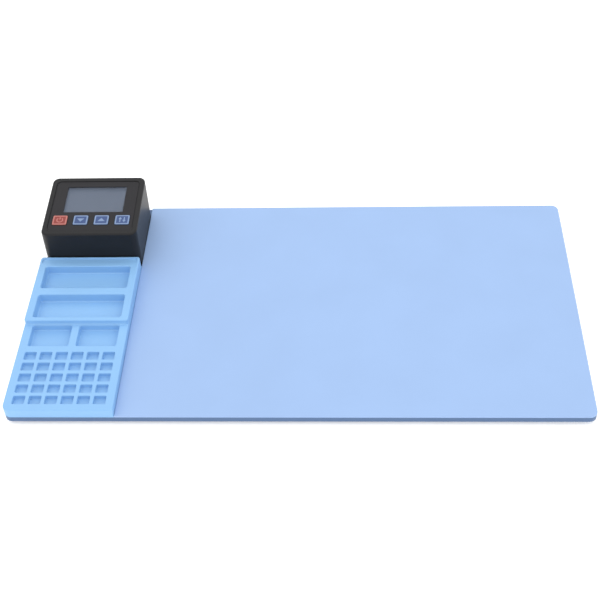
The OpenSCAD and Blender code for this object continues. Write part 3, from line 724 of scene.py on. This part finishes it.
# Heights on those axes: the recess's floor, where the panel lies, and the roof's underside.
panel_z = -1.1
roof_z = -3.1
screen_y = 36.4
key_y = 14.8
key_places = [(k - 1.5) * 15.1 for k in range(4)]
post_places = [(x, y) for x in (-28, 28) for y in (23, 52)]
inlet_x = -13.5
switch_x = 13
# The rocker's pivot lies this far inside the wall.
pivot_z = -1.5
along_y = Matrix.Rotation(math.radians(90), 4, "X")


def key_opening(x, profile):
    """A cutter for one key's opening."""
    return stack(centred(x, key_y, 10.9, 9.7, 1.2, 4), profile)


def at_socket(x):
    """Places a mesh at the back wall, with Z pointing out of it."""
    return Matrix.Translation((box_x + x, shell_high.y, 23.5)) @ Matrix.Rotation(math.radians(-90), 4, "X")


def build_shell():
    """The box with its sloping top: recess, window and key openings, screw bosses and board posts."""
    wall = 2.2

    def lift(y, z):
        """Turns a level top into the sloping one."""
        is_top = z > (shell_low.z + shell_high.z) / 2
        return (y - shell_high.y) * slope if is_top else 0

    outline = rounded(shell_low.x, shell_low.y, shell_high.x, shell_high.y, (shell_corner,) * 4, 10)
    foot = [(0.3, shell_low.z), (0, shell_low.z + 0.3)]
    body = stack(outline, foot + round_top(shell_high.z, 1.3, 6), lift)
    inner_corners = (shell_low.x + wall, shell_low.y + wall, shell_high.x - wall, shell_high.y - wall)
    inner = rounded(*inner_corners, (shell_corner - wall,) * 4, 8)
    under_roof = shell_high.z + roof_z / math.cos(math.radians(slope_angle))
    body = carved(body, [stack(inner, [(0, shell_low.z - 1), (0, under_roof)], lift)])
    bosses = []
    for x, y in corner_screws:
        toward_x = box_x + math.copysign(28.6, x - box_x)
        toward_y = box_y + math.copysign(23.7, y - box_y)
        boss = centred(toward_x, toward_y, 7.6, 7.6, 2.5, 4)
        bosses.append(stack(boss, [(0, shell_low.z + 0.05), (0.2, 26)]))
    posts = [stack(disc(x, y, 2.4, 20), [(0, -10.8), (0, roof_z + 0.2)]) for x, y in post_places]
    body = merged(body, [joined(bosses), moved(joined(posts), on_slope)])
    seat = centred(0, slope_length / 2, shell_width - 7.6, slope_length - 8.4, 3.2, 8)
    recess = stack(seat, flared(panel_z, 0, 0.3))
    through_roof = [(0, roof_z - 1), (0, 3)]
    window = stack(centred(0, screen_y, 47.4, 29.8, 1, 4), through_roof)
    openings = [key_opening(x, through_roof) for x in key_places]
    bores = [stack(disc(x, y, 1.2, 12), [(0, -12), (0, -5.4)]) for x, y in post_places]
    body = carved(body, [moved(recess, on_slope), moved(joined([window, *openings]), on_slope)])
    depth = [(0, shell_low.z - 1), (0, shell_low.z + 13)]
    pilots = [stack(disc(x, y, 1.5, 16), depth) for x, y in corner_screws]
    body = carved(body, [moved(joined(bores), on_slope), joined(pilots)])
    inlet = moved(block((-10.5, -6.5, -4), (10.5, 6.5, 2)), at_socket(inlet_x))
    switch = moved(block((-9.6, -6.5, -4), (9.6, 6.5, 2)), at_socket(switch_x))
    piece("controller_case", carved(body, [joined([inlet, switch])]), ["housing"], "controller_shell")


def build_panel():
    """The panel in the shell's recess, cut out for the display and the keys."""
    top = -0.5
    outline = centred(0, slope_length / 2, shell_width - 7.9, slope_length - 8.7, 3, 8)
    sheet = stack(outline, [(0, panel_z), (0, top - 0.12), (0.12, top)])
    cutters = [stack(centred(0, screen_y, 43.4, 26, 0.7, 4), flared(panel_z - 1, top, 0.3))]
    cutters += [key_opening(x, flared(panel_z - 1, top, 0.12)) for x in key_places]
    piece("key_panel", moved(carved(sheet, [joined(cutters)]), on_slope), ["panel"], "front_panel")


def build_display():
    """The clear pane under the panel, and the display module with its glass under the pane."""
    # The last ring keeps the visible part of the pane dead flat.
    edges = round_foot(-2.6, 0.1, 2) + round_top(panel_z, 0.15, 2) + [(1.3, panel_z)]
    pane = stack(centred(0, screen_y, 47, 29.4, 0.8, 4), edges)
    piece("display_pane", moved(pane, on_slope), ["window"], "display_window")
    bezel = [(0, -5.7), (0, -3.4), (0.1, -3.3), (2.2, -3.3), (2.35, -3.45)]
    module = stack(centred(0, screen_y, 49, 32, 0.4, 3), bezel)

    def paint(centre, normal):
        """The glass is the level face inside the bezel."""
        return 1 if normal.z > 0.99 and centre.z < -3.4 else 0

    module = moved(painted(module, paint), on_slope)
    piece("display_module", module, ["component_black", "screen"], "display_screen")


def arc_band(radius, width, start, stop, low, high, steps=18):
    """A flat band along an arc, in degrees, between two heights."""
    angles = [math.radians(start + (stop - start) * k / steps) for k in range(steps + 1)]
    far = radius + width / 2
    near = radius - width / 2
    outer = [(far * math.cos(a), far * math.sin(a)) for a in angles]
    inner = [(near * math.cos(a), near * math.sin(a)) for a in reversed(angles)]
    return stack(shape(outer + inner), [(0, low), (0, high)])


def key_sign(kind, low, high):
    """The raised sign on a key, round its centre."""
    if kind == "power":
        bar = stack(centred(0, 1.6, 0.8, 2.2, 0.2, 3), [(0, low), (0, high)])
        return [arc_band(2.1, 0.8, 130, 410, low, high), bar]
    if kind == "down":
        return [stack(shape([(-2.6, 1.4), (0, -1.8), (2.6, 1.4)]), [(0, low), (0, high)])]
    if kind == "up":
        return [stack(shape([(-2.6, -1.4), (2.6, -1.4), (0, 1.8)]), [(0, low), (0, high)])]
    sign = []
    for x, knob in ((-1.5, 0.9), (1.5, -0.9)):
        sign.append(stack(centred(x, 0, 0.8, 4.8, 0.25, 3), [(0, low), (0, high)]))
        sign.append(stack(centred(x, knob, 1.9, 1.4, 0.35, 3), [(0, low), (0, high)]))
    return sign


def build_key(node, place, kind, colour, print_colour):
    """A cap with a pale raised border and sign, its flange under the roof and its stem."""
    face_z = -0.16
    profile = [(0, -3.3), (0, -0.4)] + round_top(0, 0.4, 4)[1:] + [(1.0, 0), (1.14, face_z)]
    cap = stack(centred(0, 0, 10.4, 9.2, 1, 5), profile)
    flange = stack(centred(0, 0, 12.2, 10.4, 1, 5), [(0.1, -4.05), (0, -3.95), (0, -3.25), (0.1, -3.15)])
    stem = stack(disc(0, 0, 1.6, 20), [(0.15, -5.85), (0, -5.7), (0, -3.6)])
    cap = merged(cap, [flange, stem, *key_sign(kind, face_z - 0.2, face_z + 0.1)])

    def paint(centre, normal):
        """The print covers the raised border and the sign."""
        border = max(abs(centre.x) - 5.2, abs(centre.y) - 4.6) > -1.02 and centre.z > -0.5
        sign = centre.z > face_z + 0.01
        return 1 if border or sign else 0

    cap = moved(painted(cap, paint), on_slope @ Matrix.Translation((place, key_y, 0)))
    piece(node + "_cap", cap, [colour, print_colour], node)


def build_inlet():
    """A two-pole mains inlet: a flange on the back wall, a body behind it and a double-round socket."""
    flange = stack(centred(0, 0, 26, 15.6, 2, 6), [(0, 0), (0, 1.2)] + round_top(1.8, 0.6, 4)[1:])
    body = stack(centred(0, 0, 20.6, 12.6, 1.2, 4), [(0.3, -14), (0, -13.7), (0, 0.3)])
    whole = merged(flange, [body])
    pin_places = (-4.3, 4.3)
    socket = flared(-10.7, 1.8, 0.35)
    lobes = [stack(disc(x, 0, 4.35, 36), socket) for x in pin_places]
    waist = stack(centred(0, 0, 8.6, 7.7, 0.1, 2), socket)
    bores = [stack(disc(x, 0, 1.21, 20), [(0, -15), (0, -10)]) for x in pin_places]
    whole = carved(whole, [*lobes, waist, joined(bores)])
    piece("inlet_socket_body", moved(whole, at_socket(inlet_x)), ["inlet"], "inlet_housing")
    pins = []
    for x in pin_places:
        pin = stack(disc(x, 0, 1.18, 24), [(0, -15), (0, -1.2), (0.12, -0.75), (0.4, -0.35), (0.75, -0.21)])
        blade = stack(centred(x, 0, 0.8, 4, 0.1, 2), [(0.15, -21), (0, -20.7), (0, -14.9)])
        pins.append(merged(pin, [blade]))
    piece("inlet_pin_pair", moved(joined(pins), at_socket(inlet_x)), ["brass"], "inlet_pins")


def build_switch_frame():
    """The switch's flange, body and pocket, with a bore for the rocker's pivot."""
    flange = stack(centred(0, 0, 21, 15, 1.5, 6), [(0, 0), (0, 1.3)] + round_top(1.8, 0.5, 4)[1:])
    body = stack(centred(0, 0, 18.8, 12.6, 0.4, 3), [(0.3, -14), (0, -13.7), (0, 0.3)])
    whole = merged(flange, [body])
    pocket = stack(centred(0, 0, 15.6, 10.6, 0.3, 3), flared(-7, 1.8, 0.35))
    at_pivot = Matrix.Translation((0, 0, pivot_z)) @ along_y
    bore = moved(stack(disc(0, 0, 1.26, 20), [(0, -7), (0, 7)]), at_pivot)
    tabs = [block((s * 5.4 - 0.45, -2.05, -15), (s * 5.4 + 0.45, 2.05, -10)) for s in (-1, 1)]
    whole = carved(whole, [pocket, bore, joined(tabs)])
    piece("switch_frame", moved(whole, at_socket(switch_x)), ["inlet"], "switch_housing")


def build_rocker():
    """The rocker, tipped to its off side, with the usual bar and ring signs."""
    tip = Matrix.Rotation(math.radians(-9), 4, "Y")
    tilted = at_socket(switch_x) @ Matrix.Translation((0, 0, pivot_z)) @ tip
    # Half of its side view, on the pivot's axes: a dished top, and a round flank and belly.
    middle_z = 3
    lip_x = 7
    lip_z = 4.4
    half = [(0, middle_z), (lip_x, lip_z)]
    for k in range(11):
        angle = math.radians(20 - 5.5 * k)
        half.append((7.2 * math.cos(angle), 7.2 * math.sin(angle)))
    side = half + [(-x, z) for x, z in reversed(half[1:])]
    rocker = stack(shape([(x, z) for x, z in reversed(side)]), [(0, -5), (0, 5)])
    long_edges = [e for e in rocker.edges if abs(e.verts[0].co.z - e.verts[1].co.z) < 0.01]
    bmesh.ops.bevel(
        rocker, geom=long_edges, offset=0.35, segments=3, profile=0.5, affect="EDGES", clamp_overlap=True,
    )
    moved(rocker, along_y)
    pivot = moved(stack(disc(0, 0, 1.2, 20), [(0, -6.1), (0, 6.1)]), along_y)
    rocker = merged(rocker, [pivot])
    bar = stack(centred(0, 0, 0.7, 3.4, 0.2, 3), [(0, -0.1), (0, 0.12)])
    ring = arc_band(1.5, 0.6, 0, 359, -0.1, 0.12, 30)
    on_half = Matrix.Translation((3.9, 0, 3.78)) @ Matrix.Rotation(math.radians(-11.3), 4, "Y")
    off_half = Matrix.Translation((-3.9, 0, 3.78)) @ Matrix.Rotation(math.radians(11.3), 4, "Y")
    rocker = merged(rocker, [moved(bar, on_half), moved(ring, off_half)])

    def paint(centre, normal):
        """The signs stand proud of the rocker's two sloping faces."""
        top = middle_z + abs(centre.x) * (lip_z - middle_z) / lip_x
        proud = centre.z > top + 0.02
        return 1 if proud and abs(centre.y) < 3 else 0

    rocker = moved(painted(rocker, paint), tilted)
    piece("rocker_cap", rocker, ["rocker", "white_print"], "switch_rocker")


build_shell()
build_panel()
build_display()
build_key("power_key", key_places[0], "power", "key_red", "red_print")
build_key("down_key", key_places[1], "down", "key_blue", "blue_print")
build_key("up_key", key_places[2], "up", "key_blue", "blue_print")
build_key("set_key", key_places[3], "set", "key_blue", "blue_print")
build_inlet()
build_switch_frame()
build_rocker()
softened("controller_floor", "controller_base", 0.3)

# ---------- camera, light and floor ----------


def build_camera():
    """The camera stands in front of the object and looks down at about 45 degrees."""
    down = math.radians(44.94)
    turn = math.radians(-3.89)
    lean = math.radians(-2.97)
    ahead = Vector((math.sin(turn) * math.cos(down), math.cos(turn) * math.cos(down), -math.sin(down)))
    level = Vector((math.cos(turn), -math.sin(turn), 0))
    above = level.cross(ahead)
    right = level * math.cos(lean) + above * math.sin(lean)
    up = above * math.cos(lean) - level * math.sin(lean)
    place = Matrix.Translation((0.0372, -0.56566, 0.57659))
    data = bpy.data.cameras.new("camera")
    data.sensor_width = 36
    data.lens = 68.79
    camera = bpy.data.objects.new("camera", data)
    bpy.context.scene.collection.objects.link(camera)
    camera.matrix_world = place @ Matrix((right, up, -ahead)).transposed().to_4x4()
    bpy.context.scene.camera = camera


def build_world():
    """A soft dome: bright overhead, less so near the horizon."""
    world = bpy.data.worlds.new("dome")
    world.use_nodes = True
    bpy.context.scene.world = world
    tree = world.node_tree
    place = tree.nodes.new("ShaderNodeTexCoord")
    split = tree.nodes.new("ShaderNodeSeparateXYZ")
    tree.links.new(place.outputs["Generated"], split.inputs["Vector"])
    stops = [(0.0, (0.75, 0.75, 0.75, 1)), (0.35, (0.86, 0.86, 0.86, 1)), (0.6, (1, 1, 1, 1))]
    tone = ramp(tree, split.outputs["Z"], stops)
    sky = tree.nodes["Background"]
    tree.links.new(tone, sky.inputs["Color"])
    sky.inputs["Strength"].default_value = 1.36


def add_light(name, place, aim, size, power):
    """A square area light. place, aim and size are in metres, power in watts."""
    data = bpy.data.lights.new(name, "AREA")
    data.shape = "SQUARE"
    data.size = size
    data.energy = power
    light = bpy.data.objects.new(name, data)
    bpy.context.scene.collection.objects.link(light)
    light.location = place
    light.rotation_euler = (Vector(aim) - Vector(place)).to_track_quat("-Z", "Y").to_euler()


def build_floor():
    """A wide pale floor under the feet. It glows a little, like a lit studio table."""
    bm = bmesh.new()
    bmesh.ops.create_grid(bm, x_segments=8, y_segments=8, size=60)
    mesh = bpy.data.meshes.new("floor")
    bm.to_mesh(mesh)
    bm.free()
    white = (0.93, 0.93, 0.93, 1)
    paper, _, shader = surface("floor_paper", white, 0.9, patch=300, vary=0.004, grain=2, depth=0.0)
    shader.inputs["Emission Color"].default_value = (1, 1, 1, 1)
    shader.inputs["Emission Strength"].default_value = 0.3
    mesh.materials.append(paper)
    floor = bpy.data.objects.new("floor", mesh)
    bpy.context.scene.collection.objects.link(floor)


build_camera()
build_world()
add_light("right_light", (1.6, -0.8, 1.4), (0, 0, 0), 1.6, 3)
build_floor()
bpy.context.scene.view_settings.view_transform = "Standard"
